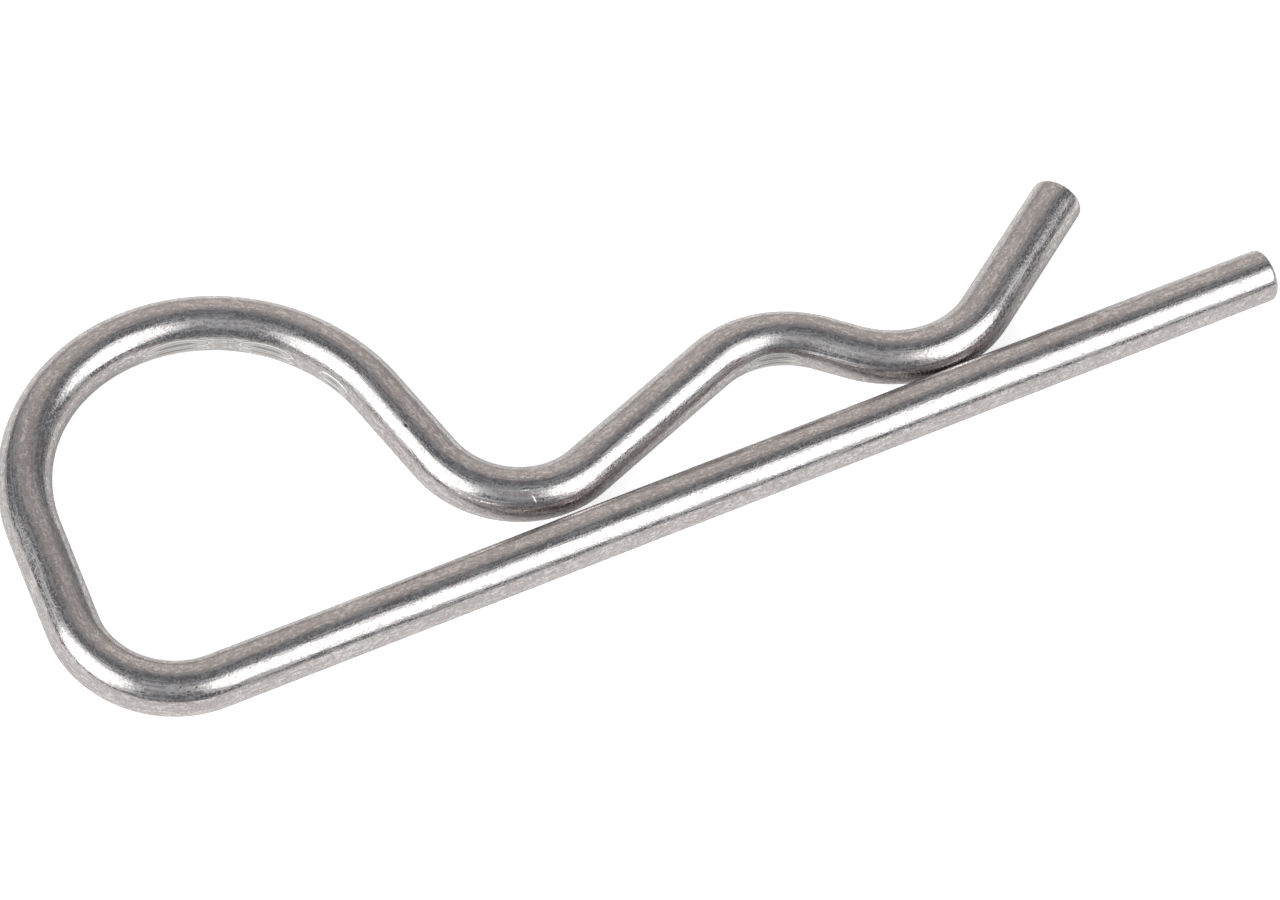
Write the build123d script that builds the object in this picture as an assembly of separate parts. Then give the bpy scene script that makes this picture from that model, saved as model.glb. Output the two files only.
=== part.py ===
from build123d import *
from dataclasses import dataclass
from math import atan2, cos, degrees, pi, radians, sin, sqrt
import os

# Hitch R clip pin: one length of round stainless spring wire, bent flat.
# The straight leg goes through the cross hole of a hitch pin, and the bent arm snaps over
# the pin's shaft. From the leg's tip the wire runs to the heel bend, up the back, round the
# pull loop, down to the throat, over the shaft seat, down to the toe, and out in a flare.
# Millimetres and degrees. X runs along the leg to its tip, Y from the leg across to the arm,
# and Z up: the clip lies flat, as it comes to rest. Bend radii are those of the wire's centre line.

# Wire stock, and the rounding that tumbling leaves on its cut ends
wire_diameter = 4.0
end_edge_radius = 0.4

# Leg, from the end of the heel bend to the tip
leg_length = 87.5

# Heel bend, and the straight back that leads from it to the pull loop
heel_radius = 7.4
heel_angle = 97.1
back_length = 8.5

# Pull loop, which takes a finger or a lanyard
loop_radius = 14.2

# Throat, where the arm dips towards the leg behind the shaft
slope_length = 7.0
throat_radius = 7.2
throat_gap = 0.7

# Shaft seat, the hump that holds a hitch pin whose axis crosses the leg's
hitch_pin_diameter = 16.0
seat_clearance = 0.3
rise_length = 13.7
seat_radius = 8.2

# Toe, which bears on the leg in front of the shaft, a hair clear of it here
descent_length = 2.4
toe_radius = 8.7
toe_gap = 0.1

# Flare that leads the shaft in under the toe, and its slope to the leg
flare_length = 12.3
flare_angle = 34.0

# Worked out from the sizes above
wire_radius = wire_diameter / 2
throat_height = wire_diameter + throat_gap
seat_height = hitch_pin_diameter / 2 + seat_clearance + wire_radius
toe_height = wire_diameter + toe_gap

LEFT_TURN = 1
RIGHT_TURN = -1


@dataclass
class Bend:
    """A bend round its own centre, with its turn seen from above on the way from the leg's tip."""

    x: float
    y: float
    radius: float
    turn: int

    def offset_to(self, radius, turn):
        """How far the next bend's centre lies to the left of this one's, square to the wire."""
        return turn * radius - self.turn * self.radius

    def next_on_heading(self, heading, straight, radius, turn):
        """The bend at the end of a straight run that leaves this one on a set heading."""
        offset = self.offset_to(radius, turn)
        x = self.x + straight * cos(radians(heading)) - offset * sin(radians(heading))
        y = self.y + straight * sin(radians(heading)) + offset * cos(radians(heading))
        return Bend(x, y, radius, turn)

    def next_at_height(self, centre_y, straight, radius, turn):
        """The bend at the end of a straight run, with its centre at a set height over the leg."""
        offset = self.offset_to(radius, turn)
        along = sqrt(straight**2 + offset**2 - (centre_y - self.y) ** 2)
        return Bend(self.x + along, centre_y, radius, turn)

    def heading_to(self, other, straight):
        """The heading of the straight run from this bend to the next."""
        offset = self.offset_to(other.radius, other.turn)
        return degrees(atan2(other.y - self.y, other.x - self.x) - atan2(offset, straight))


def make_path():
    """The wire's centre line: straight runs joined by tangent arcs, all in one plane."""
    leg_heading = 180
    back_heading = leg_heading - heel_angle
    heel = Bend(0, heel_radius, heel_radius, RIGHT_TURN)
    loop = heel.next_on_heading(back_heading, back_length, loop_radius, RIGHT_TURN)
    throat = loop.next_at_height(throat_height + throat_radius, slope_length, throat_radius, LEFT_TURN)
    seat = throat.next_at_height(seat_height - seat_radius, rise_length, seat_radius, RIGHT_TURN)
    toe = seat.next_at_height(toe_height + toe_radius, descent_length, toe_radius, LEFT_TURN)

    # Each bend, with the heading and the length of the straight run that leaves it
    stages = [
        (heel, back_heading, back_length),
        (loop, loop.heading_to(throat, slope_length), slope_length),
        (throat, throat.heading_to(seat, rise_length), rise_length),
        (seat, seat.heading_to(toe, descent_length), descent_length),
        (toe, flare_angle, flare_length),
    ]
    runs = [Line((leg_length, 0), (0, 0))]
    heading = leg_heading
    for bend, next_heading, straight in stages:
        arc = JernArc(runs[-1] @ 1, runs[-1] % 1, bend.radius, next_heading - heading)
        runs += [arc, PolarLine(arc @ 1, straight, direction=arc % 1)]
        heading = next_heading
    return Wire(runs)


def make_r_clip(path):
    """The wire swept along its centre line, with the edges of its two cut ends rounded."""
    section = Plane(origin=path @ 0, z_dir=path % 0) * Circle(wire_radius)
    clip = sweep(section, path=path)
    return fillet(clip.faces().filter_by(GeomType.PLANE).edges(), end_edge_radius)


def lay_flat(clip):
    """The clip on the floor, with the middle of its outline over the origin."""
    box = clip.bounding_box()
    return Pos(-box.center().X, -box.center().Y, -box.min.Z) * clip


path = make_path()
r_clip = lay_flat(make_r_clip(path))

os.makedirs("parts", exist_ok=True)
export_step(r_clip, "parts/r_clip.step")

box = r_clip.bounding_box()
print(f"r_clip {box.size.X:.2f} x {box.size.Y:.2f} x {box.size.Z:.2f} mm, wire {path.length:.2f} mm long")
print(f"volume {r_clip.volume:.1f} mm3, section times length {pi * wire_radius**2 * path.length:.1f} mm3")
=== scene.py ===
"""Hitch R clip pin in drawn and tumbled spring wire, on a white studio floor.

The wire is fed from the leg's tip and bent round its forming pegs, one after another, so its
mesh follows the same bends as the solid in the frame. Lengths are in metres and angles in radians.
"""

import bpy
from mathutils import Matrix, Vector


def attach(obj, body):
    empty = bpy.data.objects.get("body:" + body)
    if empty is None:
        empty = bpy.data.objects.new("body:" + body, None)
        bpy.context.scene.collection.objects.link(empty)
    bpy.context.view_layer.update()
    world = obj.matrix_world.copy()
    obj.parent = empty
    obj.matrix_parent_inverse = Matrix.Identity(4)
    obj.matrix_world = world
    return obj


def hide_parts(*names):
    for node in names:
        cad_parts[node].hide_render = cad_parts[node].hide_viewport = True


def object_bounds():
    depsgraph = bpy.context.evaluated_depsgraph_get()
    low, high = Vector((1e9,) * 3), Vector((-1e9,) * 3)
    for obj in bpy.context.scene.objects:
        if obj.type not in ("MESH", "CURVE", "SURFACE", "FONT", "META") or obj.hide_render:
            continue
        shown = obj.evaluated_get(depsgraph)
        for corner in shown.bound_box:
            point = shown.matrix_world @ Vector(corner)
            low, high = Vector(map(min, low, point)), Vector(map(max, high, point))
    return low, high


bl_info = {
    "name": "Hitch R Clip",
    "version": (1, 0, 0),
    "blender": (4, 5, 0),
    "location": "3D View > Sidebar > R Clip",
    "description": "Bends a hitch R clip pin from spring wire and sets a white studio stage for it",
    "category": "Object",
}

import math

import bmesh
import bpy
from bpy.props import FloatProperty, FloatVectorProperty, IntProperty, PointerProperty
from bpy.types import Operator, Panel, PropertyGroup
from mathutils import Matrix, Quaternion, Vector

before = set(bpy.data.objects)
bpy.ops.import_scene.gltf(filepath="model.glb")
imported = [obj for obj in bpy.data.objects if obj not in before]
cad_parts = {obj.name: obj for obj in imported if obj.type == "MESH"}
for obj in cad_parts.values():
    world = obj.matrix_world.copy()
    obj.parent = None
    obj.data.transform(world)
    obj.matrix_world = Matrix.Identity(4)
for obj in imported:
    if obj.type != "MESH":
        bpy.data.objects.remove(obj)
cad_low, cad_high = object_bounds()

MM = 0.001
LEFT_TURN = 1
RIGHT_TURN = -1
UP = Vector((0, 0, 1))

# Lights of the room, in degrees: bearing and height of the brightest spot, the angles from it at which
# the light starts and ends its fade, and the bearing and height of the highest point of its straight
# lower edge
BACK_GLOW = (66, 27, 6, 46, 66, 4)
FRONT_GLOW = (-112, 56, 3, 32, -112, 0)
LEFT_SOFTBOX = (-181, 29.5, 4, 38.5, 160, 9)
RIGHT_SOFTBOX = (-49, 38.5, 4, 33, -12, 22)

# The sine of the angle over its lower edge at which a light is full
LOWER_EDGE_FADE = 0.02

# The width of the camera's sensor in mm, and the sides of the round floor
SENSOR_WIDTH = 36
FLOOR_SIDES = 96

# The wire's runs in order, each with the one that follows it
RUNS = ("leg", "heel", "back", "loop", "slope", "throat", "rise", "seat", "descent", "toe", "flare")
NEXT_RUN = dict(zip(RUNS, RUNS[1:]))

# Pairs of flats that the forming pegs pressed into the inner side of a bend: the run, the share of it,
# the length in mm, the angle over and under the inner side in degrees, and the depth in mm
PRESS_MARKS = (
    ("loop", 0.574, 6.0, 9, 0.045),
    ("loop", 0.768, 4.8, 9, 0.040),
    ("loop", 0.929, 3.2, 9, 0.022),
    ("seat", 0.544, 5.6, 10, 0.040),
)

# A press mark's raised rim: its height and how soon it fades, as shares of the mark's depth, and how
# far along the wire it reaches from the mark's middle, as a share of the mark's length
RIM_HEIGHT_SHARE = 0.10
RIM_WIDTH_SHARE = 0.18
RIM_REACH_SHARE = 0.75

# What the layer of the press marks holds far from any of them
UNPRESSED = -1

# The skin's map and its name, then its rows of wire, the margin beside them, the share of the height
# left for the cut ends, and the places of the two ends across it
SKIN_MAP = "OFBake"
SKIN_ROWS = 4
SKIN_MARGIN = 0.025
SKIN_CAP_SHARE = 0.07
LEG_CAP_PLACE = 0.25
FLARE_CAP_PLACE = 0.75

# Corners of a face on the side of the wire. The faces of its cut ends have more.
SIDE_CORNERS = 4

# Nicks and scrapes in the surface, the nicks darkened with painted shade and the scrapes lightened with
# a painted glint over their raised relief: the run, the share of it, the angle round the wire and the
# turn from the wire's line in degrees, and the half length and half width in mm
NICKS = (
    ("slope", 0.62, 115, 0, 0.20, 0.11),
    ("throat", 0.575, 110, 10, 0.26, 0.035),
    ("throat", 0.660, 138, 90, 0.12, 0.06),
    ("heel", 0.15, 58, 0, 0.10, 0.05),
    ("heel", 0.19, 51, 10, 0.15, 0.05),
    ("heel", 0.23, 61, -10, 0.08, 0.06),
    ("heel", 0.27, 49, 0, 0.12, 0.04),
)
SCRAPES = (
    ("throat", 0.565, 115, 10, 0.30, 0.06),
    ("throat", 0.617, 135, -67, 0.32, 0.05),
    ("throat", 0.40, 142, 0, 1.6, 0.04),
    ("descent", 0.50, 149, 0, 3.2, 0.045),
)

# Where a nick or scrape starts and ends its fade, as shares of its half length and half width
MARK_FADE = (0.5, 1.3)

# The noise at which a feature of the finish starts and is full: for the tone, the sum of three noises,
# and for the scuffs and the flats of a press mark, the share in from the mark's edge
TONE_RANGE = (1.41, 1.59)
SCRATCH_RANGE = (0.48, 0.38)
PIT_RANGE = (0.50, 0.38)
SCUFF_RANGE = (-0.12, -0.06)
FLAT_RANGE = (0.0, 0.07)

# The range that the noise of the patches is narrowed to, so that they stay faint
PATCH_RANGE = (0.32, 0.68)

# How fully a feature covers the steel
SCRATCH_COVER = 0.8
SCUFF_COVER = 0.35
FLAT_COVER = 0.8

# The lines of a press mark that stand up as burrs and get a painted glint: their level, from 0 at its
# edge to 1 in its middle, how fully they cover the steel, and the distances from that level at which
# they start and are full
RIM_LEVELS = ((0.0, 1.0), (0.48, 0.6))
RIM_RANGE = (0.26, 0.12)


def length_of(name, description, default_mm):
    """A property for a length that is thought of in millimetres."""
    return FloatProperty(
        name=name, description=description, default=default_mm * MM, min=0, precision=5, unit="LENGTH"
    )


def angle_of(name, description, default_degrees):
    """A property for an angle that is thought of in degrees."""
    return FloatProperty(
        name=name, description=description, default=math.radians(default_degrees), subtype="ANGLE"
    )


def colour_of(name, description, default):
    """A property for a colour, in linear light."""
    return FloatVectorProperty(
        name=name, description=description, default=default, size=3, min=0, max=1, subtype="COLOR"
    )


def share_of(name, description, default):
    """A property for a share of one."""
    return FloatProperty(name=name, description=description, default=default, min=0, max=1)


def aim_of(name, description, default_mm):
    """A property for a place on an axis that is thought of in millimetres."""
    return FloatProperty(
        name=name, description=description, default=default_mm * MM, precision=5, unit="LENGTH"
    )


def light_of(name, description, default):
    """A property for the strength of a light."""
    return FloatProperty(name=name, description=description, default=default, min=0)


class RClipWire(PropertyGroup):
    """Sizes of the bent wire. Bend radii are those of its centre line."""

    diameter: FloatProperty(
        name="Wire diameter",
        description="Diameter of the wire, as thick as the frame's part is high",
        default=cad_high.z - cad_low.z,
        precision=5,
        unit="LENGTH",
    )
    end_edge: length_of("End edge", "Rounding of the edge of each cut end", 0.4)
    leg_length: length_of("Leg length", "Straight leg, from the heel bend to its tip", 87.5)
    heel_radius: length_of("Heel radius", "Bend from the leg to the back", 7.4)
    heel_angle: angle_of("Heel angle", "Turn of the heel bend", 97.1)
    back_length: length_of("Back length", "Straight from the heel to the pull loop", 8.5)
    loop_radius: length_of("Loop radius", "Bend of the pull loop", 14.2)
    slope_length: length_of("Slope length", "Straight from the loop to the throat", 7.0)
    throat_radius: length_of("Throat radius", "Bend of the throat", 7.2)
    throat_gap: length_of("Throat gap", "Gap between the throat and the leg", 0.7)
    rise_length: length_of("Rise length", "Straight from the throat to the seat", 13.7)
    seat_radius: length_of("Seat radius", "Bend of the hump that seats the shaft", 8.2)
    seat_height: length_of("Seat height", "Crest of the hump's inner side over the leg's axis", 8.3)
    descent_length: length_of("Descent length", "Straight from the seat to the toe", 2.4)
    toe_radius: length_of("Toe radius", "Bend of the toe that bears on the leg", 8.7)
    toe_gap: length_of("Toe gap", "Gap between the toe and the leg", 0.1)
    flare_length: length_of("Flare length", "Straight flare, from the toe to its end", 12.3)
    flare_angle: angle_of("Flare angle", "Slope of the flare to the leg", 34.0)
    straight_step: length_of("Straight step", "Spacing of the mesh's rings on straight runs", 1.0)
    bend_step: length_of("Bend step", "Spacing of the mesh's rings round bends", 0.5)
    ring_sides: IntProperty(name="Ring sides", description="Sides of each ring", default=96, min=12)


class RClipFinish(PropertyGroup):
    """Colours and grain of the drawn and tumbled wire, with painted shade for the nicks and a painted
    glint for the rims and scrapes.
    """

    steel: colour_of("Steel", "Colour of clean wire", (0.795, 0.77, 0.765))
    warm_steel: colour_of("Warm steel", "Colour of faintly toned patches", (0.53, 0.48, 0.475))
    pit_steel: colour_of("Pit steel", "Colour of the pits left by tumbling", (0.50, 0.487, 0.48))
    press_steel: colour_of("Press steel", "Colour inside a press mark", (0.33, 0.32, 0.31))
    # Painted glint: a paler steel that brightens the rims and scrapes
    painted_glint_steel: colour_of("Painted glint steel", "Painted glint on the rims and scrapes", (0.88, 0.875, 0.87))
    # Painted shade: a near-black steel that darkens the nicks' dents
    painted_nick_shade: colour_of("Painted nick shade", "Painted shade in the nicks", (0.10, 0.095, 0.09))
    gloss: share_of("Gloss", "Roughness of the smooth wire", 0.13)
    pit_gloss: share_of("Pit gloss", "Roughness of its pits and scrapes", 0.4)
    grain_size: length_of("Grain size", "Size of the grain that tumbling leaves", 0.17)
    grain_depth: length_of("Grain depth", "Depth of that grain", 0.0085)
    streak_length: length_of("Streak length", "Length of the streaks that drawing leaves", 3.0)
    streak_width: length_of("Streak width", "Width of those streaks", 0.15)
    streak_depth: length_of("Streak depth", "Depth of those streaks", 0.008)
    wave_length: length_of("Wave length", "Length of the wire's faint waves", 4.8)
    wave_width: length_of("Wave width", "Width of those waves", 3.0)
    wave_depth: length_of("Wave depth", "Depth of those waves", 0.012)
    patch_length: length_of("Patch length", "Length of the toned patches", 4.0)
    patch_width: length_of("Patch width", "Width of those patches", 2.0)
    mottle_length: length_of("Mottle length", "Length of the fine mottling", 0.5)
    mottle_width: length_of("Mottle width", "Width of that mottling", 0.25)
    nick_depth: length_of("Nick depth", "Depth of the nicks", 0.008)
    burr_height: length_of("Burr height", "Height that a scrape or a rim stands up", 0.02)


class RClipStudio(PropertyGroup):
    """Camera, floor, and the room with its lights."""

    camera_azimuth: angle_of("Camera azimuth", "Bearing of the camera from the clip", -126.484)
    camera_elevation: angle_of("Camera elevation", "Height of the camera over the horizon", 55.383)
    camera_roll: angle_of("Camera roll", "Turn of the camera about its line of sight", 10.258)
    camera_distance: length_of("Camera distance", "From the camera to its target", 621.1)
    lens: FloatProperty(name="Lens", description="Focal length", default=239.45, unit="CAMERA")
    target_x: aim_of("Target X", "Aim along the leg", -1.992)
    target_y: aim_of("Target Y", "Aim across the leg", -9.411)
    room: colour_of("Room", "Light of the dark room round the stage", (0.184, 0.194, 0.211))
    back_glow: colour_of("Back glow", "Light of the warm wall behind the clip", (0.68, 0.635, 0.612))
    front_glow: colour_of("Front glow", "Light of the pale ceiling by the camera", (0.44, 0.45, 0.47))
    softbox: light_of("Softbox", "Brightness of the two softboxes", 3.1)
    floor_colour: colour_of("Floor", "Colour of the floor", (0.675, 0.667, 0.653))
    floor_glow: light_of("Floor glow", "Lift that makes the lit floor white", 0.72)
    floor_mirror: share_of("Floor mirror", "Share of that lift in what the wire mirrors", 0.1)
    floor_radius: length_of("Floor radius", "Radius of the floor", 2000)
    key_azimuth: angle_of("Key azimuth", "Bearing of the key light", -172)
    key_elevation: angle_of("Key elevation", "Height of the key light over the horizon", 22)
    key_spread: angle_of("Key spread", "How wide the key light looks from the clip", 32)
    key_strength: light_of("Key strength", "Light of the key light", 3.6)


class Bend:
    """A bend round its own peg, with its turn seen from above on the way from the leg's tip."""

    def __init__(self, x, y, radius, turn):
        self.x = x
        self.y = y
        self.radius = radius
        self.turn = turn

    def offset_to(self, radius, turn):
        """How far the next peg lies to the left of this one, square to the wire."""
        return turn * radius - self.turn * self.radius

    def next_on_heading(self, heading, straight, radius, turn):
        """The bend at the end of a straight run that leaves this one on a set heading."""
        offset = self.offset_to(radius, turn)
        x = self.x + straight * math.cos(heading) - offset * math.sin(heading)
        y = self.y + straight * math.sin(heading) + offset * math.cos(heading)
        return Bend(x, y, radius, turn)

    def next_at_height(self, centre_y, straight, radius, turn):
        """The bend at the end of a straight run, with its peg at a set height over the leg."""
        offset = self.offset_to(radius, turn)
        along = math.sqrt(straight**2 + offset**2 - (centre_y - self.y) ** 2)
        return Bend(self.x + along, centre_y, radius, turn)

    def heading_to(self, other, straight):
        """The heading of the straight run from this bend to the next."""
        offset = self.offset_to(other.radius, other.turn)
        return math.atan2(other.y - self.y, other.x - self.x) - math.atan2(offset, straight)


def plan_bends(wire):
    """Each bend's name, radius and signed turn, and the straight that leaves it, from the leg on."""
    radius = wire.diameter / 2
    back_heading = math.pi - wire.heel_angle
    throat_y = wire.diameter + wire.throat_gap + wire.throat_radius
    seat_y = wire.seat_height + radius - wire.seat_radius
    toe_y = wire.diameter + wire.toe_gap + wire.toe_radius
    heel = Bend(0, wire.heel_radius, wire.heel_radius, RIGHT_TURN)
    loop = heel.next_on_heading(back_heading, wire.back_length, wire.loop_radius, RIGHT_TURN)
    throat = loop.next_at_height(throat_y, wire.slope_length, wire.throat_radius, LEFT_TURN)
    seat = throat.next_at_height(seat_y, wire.rise_length, wire.seat_radius, RIGHT_TURN)
    toe = seat.next_at_height(toe_y, wire.descent_length, wire.toe_radius, LEFT_TURN)
    stages = [
        ("heel", heel, back_heading, "back", wire.back_length),
        ("loop", loop, loop.heading_to(throat, wire.slope_length), "slope", wire.slope_length),
        ("throat", throat, throat.heading_to(seat, wire.rise_length), "rise", wire.rise_length),
        ("seat", seat, seat.heading_to(toe, wire.descent_length), "descent", wire.descent_length),
        ("toe", toe, wire.flare_angle, "flare", wire.flare_length - wire.end_edge),
    ]
    plan = []
    heading = math.pi
    for name, bend, next_heading, next_name, straight in stages:
        plan.append((name, bend.radius, next_heading - heading, next_name, straight))
        heading = next_heading
    return plan


class WireFormer:
    """Feeds wire from the leg's tip and bends it, leaving a ring of vertices at each step.

    The layer named stock gives each vertex its place on the straight wire before it was bent:
    how much skin was fed, and its two offsets from the wire's axis, to the left and up. The layer
    named pressed is over 0 in the flats that the forming pegs left, up to 1 in their middles: it is
    the distance in from the flat's edge, as a share of half the flat's greatest width.
    """

    def __init__(self, tip, heading, wire):
        self.bm = bmesh.new()
        self.stock = self.bm.verts.layers.float_vector.new("stock")
        self.pressed = self.bm.verts.layers.float.new("pressed")
        self.place = tip.copy()
        self.heading = heading
        self.radius = wire.diameter / 2
        self.edge = wire.end_edge
        self.ring_radius = self.radius - self.edge
        self.straight_step = wire.straight_step
        self.bend_step = wire.bend_step
        self.fed = 0
        self.rings = []
        self.starts = {}
        across = Matrix((self.left, UP, self.ahead)).transposed().to_4x4()
        made = bmesh.ops.create_circle(
            self.bm,
            cap_ends=True,
            segments=wire.ring_sides,
            radius=self.ring_radius,
            matrix=Matrix.Translation(tip) @ across,
        )
        self.keep_ring(made["verts"])

    @property
    def ahead(self):
        return Vector((math.cos(self.heading), math.sin(self.heading), 0))

    @property
    def left(self):
        return UP.cross(self.ahead)

    def keep_ring(self, geometry):
        """Keeps the newest ring, and writes its vertices' places on the straight wire."""
        verts = [g for g in geometry if isinstance(g, bmesh.types.BMVert)]
        for vert in verts:
            offset = vert.co - self.place
            vert[self.stock] = Vector((self.fed, offset.dot(self.left), offset.z))
            vert[self.pressed] = UNPRESSED
        self.rings.append((verts, self.left, self.fed))

    def ring_edges(self):
        """The edges of the newest ring."""
        verts = self.rings[-1][0]
        newest = set(verts)
        return list({e for v in verts for e in v.link_edges if e.other_vert(v) in newest})

    def advance(self, length, radius):
        """Feeds one step of wire, whose newest ring may grow or shrink to another radius."""
        made = bmesh.ops.extrude_edge_only(self.bm, edges=self.ring_edges())
        verts = [g for g in made["geom"] if isinstance(g, bmesh.types.BMVert)]
        bmesh.ops.translate(self.bm, verts=verts, vec=self.ahead * length)
        self.place += self.ahead * length
        self.fed += math.hypot(length, radius - self.ring_radius)
        if radius != self.ring_radius:
            grow = radius / self.ring_radius
            space = Matrix.Translation(-self.place)
            bmesh.ops.scale(self.bm, verts=verts, vec=(grow, grow, grow), space=space)
            self.ring_radius = radius
        self.keep_ring(verts)

    def feed(self, name, length):
        """Feeds a straight run."""
        self.starts[name] = self.fed
        steps = max(1, round(length / self.straight_step))
        for _ in range(steps):
            self.advance(length / steps, self.radius)

    def bend(self, name, radius, turn):
        """Bends the wire round a peg, to the left where the turn is positive."""
        self.starts[name] = self.fed
        steps = max(1, round(abs(turn) * radius / self.bend_step))
        peg = self.place + self.left * math.copysign(radius, turn)
        for _ in range(steps):
            made = bmesh.ops.spin(
                self.bm, geom=self.ring_edges(), cent=peg, axis=UP, angle=turn / steps, steps=1
            )
            self.place = peg + Matrix.Rotation(turn / steps, 3, UP) @ (self.place - peg)
            self.heading += turn / steps
            self.fed += abs(turn) * radius / steps
            self.keep_ring(made["geom_last"])

    def round_edge(self, opening, steps=6):
        """Rounds the edge of a cut end, from its flat face out to the wire or from the wire in."""
        angles = [math.pi / 2 * i / steps for i in range(steps + 1)]
        # Radius and depth of each ring of the rounding, from the flat face to the full wire
        profile = [
            (self.radius - self.edge * (1 - math.sin(a)), self.edge * (1 - math.cos(a))) for a in angles
        ]
        if not opening:
            profile = [(r, self.edge - depth) for r, depth in reversed(profile)]
        for (_, before), (radius, depth) in zip(profile, profile[1:]):
            self.advance(depth - before, radius)

    def cap(self):
        """Closes the newest ring with a flat face."""
        bmesh.ops.contextual_create(self.bm, geom=self.ring_edges())

    def rings_near(self, along, reach):
        """The rings within reach of a place along the wire."""
        return [ring for ring in self.rings if abs(ring[2] - along) < reach]

    def half_chord(self, sink):
        """Half the width of a flat that sinks so deep into the round wire."""
        return math.sqrt(max(0, self.radius**2 - (self.radius - sink) ** 2))

    def press_flat(self, along, around, length, depth):
        """Presses a lens-shaped flat into the wire, as a forming peg's flank does, with a raised rim."""
        rim = depth * RIM_HEIGHT_SHARE
        widest = self.half_chord(depth)
        for verts, left, fed in self.rings_near(along, length * RIM_REACH_SHARE):
            across = left * math.cos(around) + UP * math.sin(around)
            sink = depth * (1 - (2 * (fed - along) / length) ** 2)
            half_width = math.copysign(self.half_chord(abs(sink)), sink)
            for vert in verts:
                _, to_left, up = vert[self.stock]
                height = to_left * math.cos(around) + up * math.sin(around)
                over = (height - (self.radius - sink)) / depth
                vert.co -= across * max(0, over * depth)
                vert.co += across * rim * math.exp(-((over / RIM_WIDTH_SHARE) ** 2))
                aside = self.half_chord(self.radius - height) if height > 0 else self.radius
                vert[self.pressed] = max(vert[self.pressed], (half_width - aside) / widest)

    def unroll(self, name):
        """Lays the wire's skin out flat in rows, as a UV map whose U runs along the wire."""
        layer = self.bm.loops.layers.uv.new(name)
        row_length = self.fed / SKIN_ROWS
        girth = math.tau * self.radius
        scale = (1 - 2 * SKIN_MARGIN) / row_length
        half_turn = 0.5
        for face in self.bm.faces:
            stock = [loop.vert[self.stock] for loop in face.loops]
            if len(stock) > SIDE_CORNERS:
                cap_place = FLARE_CAP_PLACE if stock[0].x > 0 else LEG_CAP_PLACE
                centre = Vector((cap_place, 1 - SKIN_CAP_SHARE / 2))
                for loop, (_, to_left, up) in zip(face.loops, stock):
                    loop[layer].uv = centre + Vector((to_left, up)) * scale
                continue
            row = min(SKIN_ROWS - 1, int(sum(place.x for place in stock) / len(stock) / row_length))
            turns = [math.atan2(place.z, place.y) / math.tau % 1 for place in stock]
            over_seam = max(turns) - min(turns) > half_turn
            for loop, place, turn in zip(face.loops, stock, turns):
                turn += over_seam and turn < half_turn
                across = SKIN_MARGIN / 2 + row * (1 - SKIN_CAP_SHARE) / SKIN_ROWS + turn * girth * scale
                loop[layer].uv = (SKIN_MARGIN + (place.x - row * row_length) * scale, across)

    def place_of(self, run, share):
        """How far the wire is fed at a share of one of its runs."""
        start = self.starts[run]
        return start + share * (self.starts[NEXT_RUN[run]] - start)


def form_wire(wire):
    """The whole clip's wire, fed and bent in order, with the marks that forming leaves."""
    radius = wire.diameter / 2
    tip = Vector((cad_high.x, cad_low.y + radius, cad_low.z + radius))
    former = WireFormer(tip, math.pi, wire)
    former.round_edge(opening=True)
    former.feed("leg", wire.leg_length - wire.end_edge)
    for name, bend_radius, turn, next_name, straight in plan_bends(wire):
        former.bend(name, bend_radius, turn)
        former.feed(next_name, straight)
    former.round_edge(opening=False)
    former.cap()
    for run, share, length, rise, depth in PRESS_MARKS:
        for side in (rise, -rise):
            around = math.pi + math.radians(side)
            former.press_flat(former.place_of(run, share), around, length * MM, depth * MM)
    former.unroll(SKIN_MAP)
    bmesh.ops.recalc_face_normals(former.bm, faces=former.bm.faces)
    for face in former.bm.faces:
        face.smooth = True
    return former


def new_node(tree, kind, label, **settings):
    """A node with a label, and its settings as attributes."""
    node = tree.nodes.new(kind)
    node.label = label
    for key, value in settings.items():
        setattr(node, key, value)
    return node


def math_of(tree, label, operation, first, second=None):
    """A sum on one or two values, the second of which may be a plain number."""
    node = new_node(tree, "ShaderNodeMath", label, operation=operation)
    tree.links.new(first, node.inputs[0])
    if isinstance(second, bpy.types.NodeSocket):
        tree.links.new(second, node.inputs[1])
    elif second is not None:
        node.inputs[1].default_value = second
    return node.outputs["Value"]


def noise_on_wire(tree, stock, label, length, width, detail):
    """Noise in the straight wire's own space, with its size along the wire and across it."""
    mapping = new_node(tree, "ShaderNodeMapping", f"{label} size")
    mapping.inputs["Scale"].default_value = (1 / length, 1 / width, 1 / width)
    noise = new_node(tree, "ShaderNodeTexNoise", label)
    noise.inputs["Scale"].default_value = 1
    noise.inputs["Detail"].default_value = detail
    tree.links.new(stock.outputs["Vector"], mapping.inputs["Vector"])
    tree.links.new(mapping.outputs["Vector"], noise.inputs["Vector"])
    return noise.outputs["Fac"]


def bump_of(tree, label, height, depth, below):
    """A bump of a set depth, over the bump below it where there is one."""
    bump = new_node(tree, "ShaderNodeBump", label)
    bump.inputs["Distance"].default_value = depth
    tree.links.new(height, bump.inputs["Height"])
    if below is not None:
        tree.links.new(below, bump.inputs["Normal"])
    return bump.outputs["Normal"]


def spread(tree, label, value, low, high, to_low=0, to_high=1):
    """A value stretched from one range to another, and held within it."""
    node = new_node(tree, "ShaderNodeMapRange", label)
    node.inputs["From Min"].default_value = low
    node.inputs["From Max"].default_value = high
    node.inputs["To Min"].default_value = to_low
    node.inputs["To Max"].default_value = to_high
    tree.links.new(value, node.inputs["Value"])
    return node.outputs["Result"]


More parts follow.
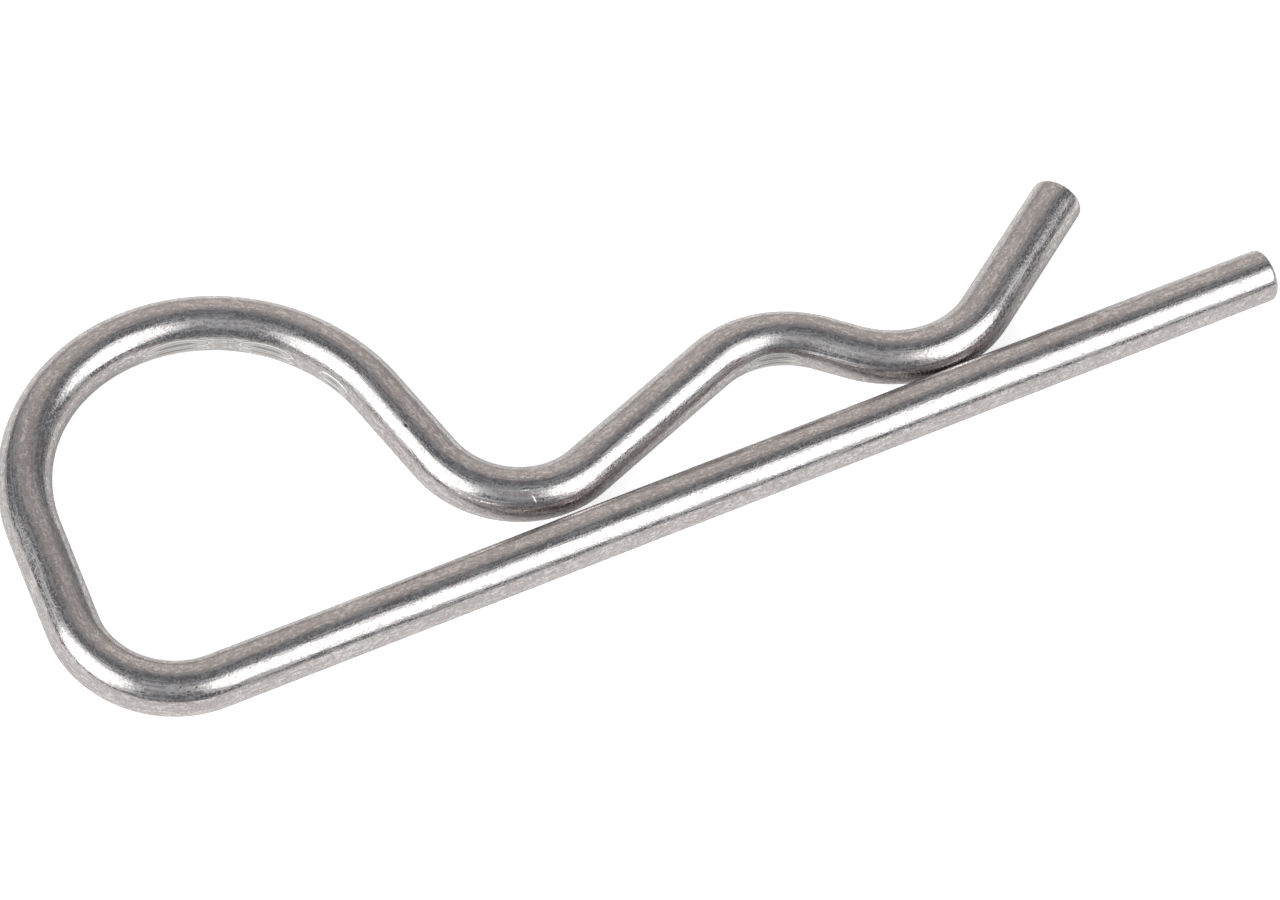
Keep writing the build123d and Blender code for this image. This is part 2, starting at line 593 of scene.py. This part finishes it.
def blend_colours(tree, label, share, below, above):
    """One colour over another, by a share. The lower one is a colour or another blend."""
    node = new_node(tree, "ShaderNodeMix", label, data_type="RGBA")
    node.inputs["B"].default_value = (*above, 1)
    if isinstance(below, bpy.types.NodeSocket):
        tree.links.new(below, node.inputs["A"])
    else:
        node.inputs["A"].default_value = (*below, 1)
    tree.links.new(share, node.inputs["Factor"])
    return node.outputs["Result"]


def marks_on_wire(tree, stock, former, label, marks):
    """A value that is 1 in the middle of each mark and 0 away from it."""
    total = None
    full, gone = MARK_FADE
    for run, share, around, turn, length, width in marks:
        outwards = math.radians(around)
        mapping = new_node(tree, "ShaderNodeMapping", f"{label} on the {run}", vector_type="TEXTURE")
        mapping.inputs["Location"].default_value = (
            former.place_of(run, share),
            math.cos(outwards) * former.radius,
            math.sin(outwards) * former.radius,
        )
        lie = Matrix.Rotation(outwards, 3, "X") @ Matrix.Rotation(math.radians(turn), 3, "Y")
        mapping.inputs["Rotation"].default_value = lie.to_euler()
        mapping.inputs["Scale"].default_value = (length * MM, width * MM, width * MM)
        tree.links.new(stock.outputs["Vector"], mapping.inputs["Vector"])
        reach = new_node(tree, "ShaderNodeVectorMath", f"Distance from the {label}", operation="LENGTH")
        tree.links.new(mapping.outputs["Vector"], reach.inputs[0])
        mark = spread(tree, label, reach.outputs["Value"], gone, full)
        total = mark if total is None else math_of(tree, f"Each {label}", "MAXIMUM", total, mark)
    return total


def burrs_on_wire(tree, scrapes, pressed):
    """The scrapes, together with the raised lines of the press marks, as one mask for their burr relief
    and their painted glint.
    """
    burrs = scrapes
    for level, cover in RIM_LEVELS:
        over = math_of(tree, "Height over a rim", "SUBTRACT", pressed, level)
        gap = math_of(tree, "Distance from a rim", "ABSOLUTE", over)
        rim = spread(tree, "Rim of a press mark", gap, *RIM_RANGE, 0, cover)
        burrs = math_of(tree, "Scrapes and rims", "MAXIMUM", burrs, rim)
    return burrs


def tumbled_wire_material(finish, former):
    """Drawn stainless wire with streaks, tumbled grain, warm patches, nicks and press marks, with
    painted shade in the nicks and a painted glint on the scrapes and rims.
    """
    material = bpy.data.materials.new("tumbled_spring_wire")
    material.use_nodes = True
    tree = material.node_tree
    shader = tree.nodes["Principled BSDF"]
    shader.inputs["Metallic"].default_value = 1
    stock = new_node(tree, "ShaderNodeAttribute", "Place on the straight wire", attribute_name="stock")
    marks = new_node(tree, "ShaderNodeAttribute", "Press marks", attribute_name="pressed")
    pressed = marks.outputs["Fac"]

    grain = noise_on_wire(tree, stock, "Grain", finish.grain_size, finish.grain_size, detail=2)
    streak = noise_on_wire(tree, stock, "Streaks", finish.streak_length, finish.streak_width, detail=3)
    wave = noise_on_wire(tree, stock, "Waves", finish.wave_length, finish.wave_width, detail=1)
    patch = noise_on_wire(tree, stock, "Patches", finish.patch_length, finish.patch_width, detail=5)
    mottle = noise_on_wire(tree, stock, "Mottling", finish.mottle_length, finish.mottle_width, detail=2)
    nicks = marks_on_wire(tree, stock, former, "nick", NICKS)
    scrapes = marks_on_wire(tree, stock, former, "scrape", SCRAPES)
    burrs = burrs_on_wire(tree, scrapes, pressed)

    faint = spread(tree, "Faint patches", patch, 0, 1, *PATCH_RANGE)
    tone = math_of(tree, "Patches and mottling", "ADD", faint, mottle)
    tone = math_of(tree, "Patches, mottling and streaks", "ADD", tone, streak)
    tone = spread(tree, "Tone", tone, *TONE_RANGE)
    colour = blend_colours(tree, "Steel and its tone", tone, finish.steel, finish.warm_steel)
    scratches = spread(tree, "Scratches", streak, *SCRATCH_RANGE, 0, SCRATCH_COVER)
    pits = spread(tree, "Pits", grain, *PIT_RANGE)
    scuffs = spread(tree, "Scuffed press marks", pressed, *SCUFF_RANGE, 0, SCUFF_COVER)
    worn = math_of(tree, "Pits and scratches", "MAXIMUM", pits, scratches)
    worn = math_of(tree, "Wear with press marks", "MAXIMUM", worn, scuffs)
    colour = blend_colours(tree, "Pitted steel", worn, colour, finish.pit_steel)
    flat = spread(tree, "Inside a press mark", pressed, *FLAT_RANGE, 0, FLAT_COVER)
    colour = blend_colours(tree, "Pressed steel", flat, colour, finish.press_steel)
    # Painted glint: the scrapes and the rims of the press marks are lightened in colour, on top of
    # standing up in relief
    colour = blend_colours(tree, "Painted glint on burrs", burrs, colour, finish.painted_glint_steel)
    # Painted shade: the nicks are darkened in colour, on top of their dented relief
    colour = blend_colours(tree, "Nicks with painted shade", nicks, colour, finish.painted_nick_shade)
    tree.links.new(colour, shader.inputs["Base Color"])

    worn = math_of(tree, "All wear", "MAXIMUM", worn, burrs)
    gloss = spread(tree, "Gloss of the worn wire", worn, 0, 1, finish.gloss, finish.pit_gloss)
    tree.links.new(gloss, shader.inputs["Roughness"])

    relief = (
        ("Wave depth", wave, finish.wave_depth),
        ("Streak depth", streak, finish.streak_depth),
        ("Grain depth", grain, finish.grain_depth),
        ("Nick depth", nicks, -finish.nick_depth),
        ("Burr height", burrs, finish.burr_height),
    )
    normal = None
    for label, height, depth in relief:
        normal = bump_of(tree, label, height, depth, normal)
    tree.links.new(normal, shader.inputs["Normal"])
    return material


def white_floor_material(studio):
    """A matt floor that keeps shadows, lifted to white for the camera and a little in mirrors."""
    material = bpy.data.materials.new("white_floor")
    material.use_nodes = True
    tree = material.node_tree
    shader = tree.nodes["Principled BSDF"]
    shader.inputs["Base Color"].default_value = (*studio.floor_colour, 1)
    shader.inputs["Roughness"].default_value = 1
    shader.inputs["Specular IOR Level"].default_value = 0
    path = new_node(tree, "ShaderNodeLightPath", "What looks at the floor")
    glossy = path.outputs["Is Glossy Ray"]
    through = path.outputs["Is Transmission Ray"]
    mirrored = math_of(tree, "Mirrored or seen through", "MAXIMUM", glossy, through)
    share = math_of(tree, "Share in mirrors", "MULTIPLY", mirrored, studio.floor_mirror)
    seen = math_of(tree, "Seen at all", "MAXIMUM", path.outputs["Is Camera Ray"], share)
    lift = math_of(tree, "Lift to white", "MULTIPLY", seen, studio.floor_glow)
    glow = new_node(tree, "ShaderNodeEmission", "Floor glow")
    tree.links.new(lift, glow.inputs["Strength"])
    both = new_node(tree, "ShaderNodeAddShader", "Lit floor and glow")
    tree.links.new(shader.outputs["BSDF"], both.inputs[0])
    tree.links.new(glow.outputs["Emission"], both.inputs[1])
    tree.links.new(both.outputs["Shader"], tree.nodes["Material Output"].inputs["Surface"])
    return material


def add_floor(studio):
    """The round white floor that the clip lies on."""
    bm = bmesh.new()
    bmesh.ops.create_circle(bm, cap_ends=True, segments=FLOOR_SIDES, radius=studio.floor_radius)
    mesh = bpy.data.meshes.new("white_floor")
    bm.to_mesh(mesh)
    bm.free()
    mesh.materials.append(white_floor_material(studio))
    floor = bpy.data.objects.new("white_floor", mesh)
    bpy.context.scene.collection.objects.link(floor)


def direction(azimuth, elevation):
    """The unit vector from the clip towards a bearing and a height over the horizon."""
    flat = math.cos(elevation)
    return Vector((flat * math.cos(azimuth), flat * math.sin(azimuth), math.sin(elevation)))


def along_way(tree, label, way, towards):
    """How far the looked-at direction leans towards another one: 1 along it, and 0 square to it."""
    lean = new_node(tree, "ShaderNodeVectorMath", label, operation="DOT_PRODUCT")
    lean.inputs[1].default_value = towards
    tree.links.new(way, lean.inputs[0])
    return lean.outputs["Value"]


def room_light(tree, label, way, spot, below, colour):
    """Blends a soft light into the room, round its brightest spot and down to its lower edge."""
    azimuth, elevation, fade_start, fade_end, edge_azimuth, edge_elevation = map(math.radians, spot)
    nearness = along_way(tree, f"Nearness to the {label}", way, direction(azimuth, elevation))
    fade = spread(tree, f"Fade of the {label}", nearness, math.cos(fade_end), math.cos(fade_start))
    fade.node.interpolation_type = "SMOOTHSTEP"
    over_edge = direction(edge_azimuth + math.pi, math.pi / 2 - edge_elevation)
    height = along_way(tree, f"Height over the {label}'s lower edge", way, over_edge)
    above = spread(tree, f"Lower edge of the {label}", height, 0, LOWER_EDGE_FADE)
    share = math_of(tree, f"Share of the {label}", "MULTIPLY", fade, above)
    return blend_colours(tree, f"Room and {label}", share, below, colour)


def studio_room(studio):
    """A dark room with two softboxes, a warm glow behind the clip and a pale one over the camera."""
    world = bpy.data.worlds.new("studio_room")
    world.use_nodes = True
    tree = world.node_tree
    way = new_node(tree, "ShaderNodeTexCoord", "Direction").outputs["Generated"]
    softbox = [studio.softbox] * 3
    light = room_light(tree, "back glow", way, BACK_GLOW, studio.room, studio.back_glow)
    light = room_light(tree, "front glow", way, FRONT_GLOW, light, studio.front_glow)
    light = room_light(tree, "left softbox", way, LEFT_SOFTBOX, light, softbox)
    light = room_light(tree, "right softbox", way, RIGHT_SOFTBOX, light, softbox)
    tree.links.new(light, tree.nodes["Background"].inputs["Color"])
    return world


def add_camera(studio):
    """The camera, looking down on the clip from the side of its leg."""
    camera = bpy.data.cameras.new("studio_camera")
    camera.lens = studio.lens
    camera.sensor_width = SENSOR_WIDTH
    viewer = bpy.data.objects.new("studio_camera", camera)
    bpy.context.scene.collection.objects.link(viewer)
    towards = direction(studio.camera_azimuth, studio.camera_elevation)
    target = Vector((studio.target_x, studio.target_y, (cad_low.z + cad_high.z) / 2))
    viewer.location = target + towards * studio.camera_distance
    viewer.rotation_mode = "QUATERNION"
    roll = Quaternion((0, 0, 1), studio.camera_roll)
    viewer.rotation_quaternion = towards.to_track_quat("Z", "Y") @ roll
    bpy.context.scene.camera = viewer


def add_key_light(studio):
    """A broad light from the left, for the floor. The left softbox is its picture in the wire."""
    light = bpy.data.lights.new("key_light", "SUN")
    light.energy = studio.key_strength
    light.angle = studio.key_spread
    key = bpy.data.objects.new("key_light", light)
    bpy.context.scene.collection.objects.link(key)
    key.rotation_mode = "QUATERNION"
    key.rotation_quaternion = direction(studio.key_azimuth, studio.key_elevation).to_track_quat("Z", "Y")
    key.visible_glossy = False


class RCLIP_OT_bend_wire(Operator):
    """Bends the wire of the clip and gives it its finish"""

    bl_idname = "rclip.bend_wire"
    bl_label = "Bend the Wire"
    bl_options = {"REGISTER", "UNDO"}

    def execute(self, context):
        former = form_wire(context.scene.rclip_wire)
        mesh = bpy.data.meshes.new("bent_wire")
        former.bm.to_mesh(mesh)
        former.bm.free()
        mesh.materials.append(tumbled_wire_material(context.scene.rclip_finish, former))
        clip = bpy.data.objects.new("bent_wire", mesh)
        context.scene.collection.objects.link(clip)
        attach(clip, "root")
        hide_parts("r_clip")
        return {"FINISHED"}


class RCLIP_OT_set_stage(Operator):
    """Sets the floor, the room with its lights, and the camera"""

    bl_idname = "rclip.set_stage"
    bl_label = "Set the Stage"
    bl_options = {"REGISTER", "UNDO"}

    def execute(self, context):
        studio = context.scene.rclip_studio
        add_floor(studio)
        context.scene.world = studio_room(studio)
        context.scene.view_settings.view_transform = "Standard"
        add_key_light(studio)
        add_camera(studio)
        return {"FINISHED"}


class RCLIP_PT_sidebar(Panel):
    """Sizes, finish and stage of the clip"""

    bl_idname = "RCLIP_PT_sidebar"
    bl_label = "Hitch R Clip"
    bl_space_type = "VIEW_3D"
    bl_region_type = "UI"
    bl_category = "R Clip"

    def draw(self, context):
        scene = context.scene
        groups = (
            (RCLIP_OT_bend_wire, (scene.rclip_wire, scene.rclip_finish)),
            (RCLIP_OT_set_stage, (scene.rclip_studio,)),
        )
        for operator, settings in groups:
            box = self.layout.box()
            for group in settings:
                for name in group.bl_rna.properties.keys():
                    if name not in ("rna_type", "name"):
                        box.prop(group, name)
            box.operator(operator.bl_idname)


CLASSES = (
    RClipWire,
    RClipFinish,
    RClipStudio,
    RCLIP_OT_bend_wire,
    RCLIP_OT_set_stage,
    RCLIP_PT_sidebar,
)


def register():
    for cls in CLASSES:
        bpy.utils.register_class(cls)
    bpy.types.Scene.rclip_wire = PointerProperty(type=RClipWire)
    bpy.types.Scene.rclip_finish = PointerProperty(type=RClipFinish)
    bpy.types.Scene.rclip_studio = PointerProperty(type=RClipStudio)


def unregister():
    del bpy.types.Scene.rclip_studio
    del bpy.types.Scene.rclip_finish
    del bpy.types.Scene.rclip_wire
    for cls in reversed(CLASSES):
        bpy.utils.unregister_class(cls)


def main():
    register()
    bpy.ops.rclip.bend_wire()
    bpy.ops.rclip.set_stage()


if __name__ == "__main__":
    main()
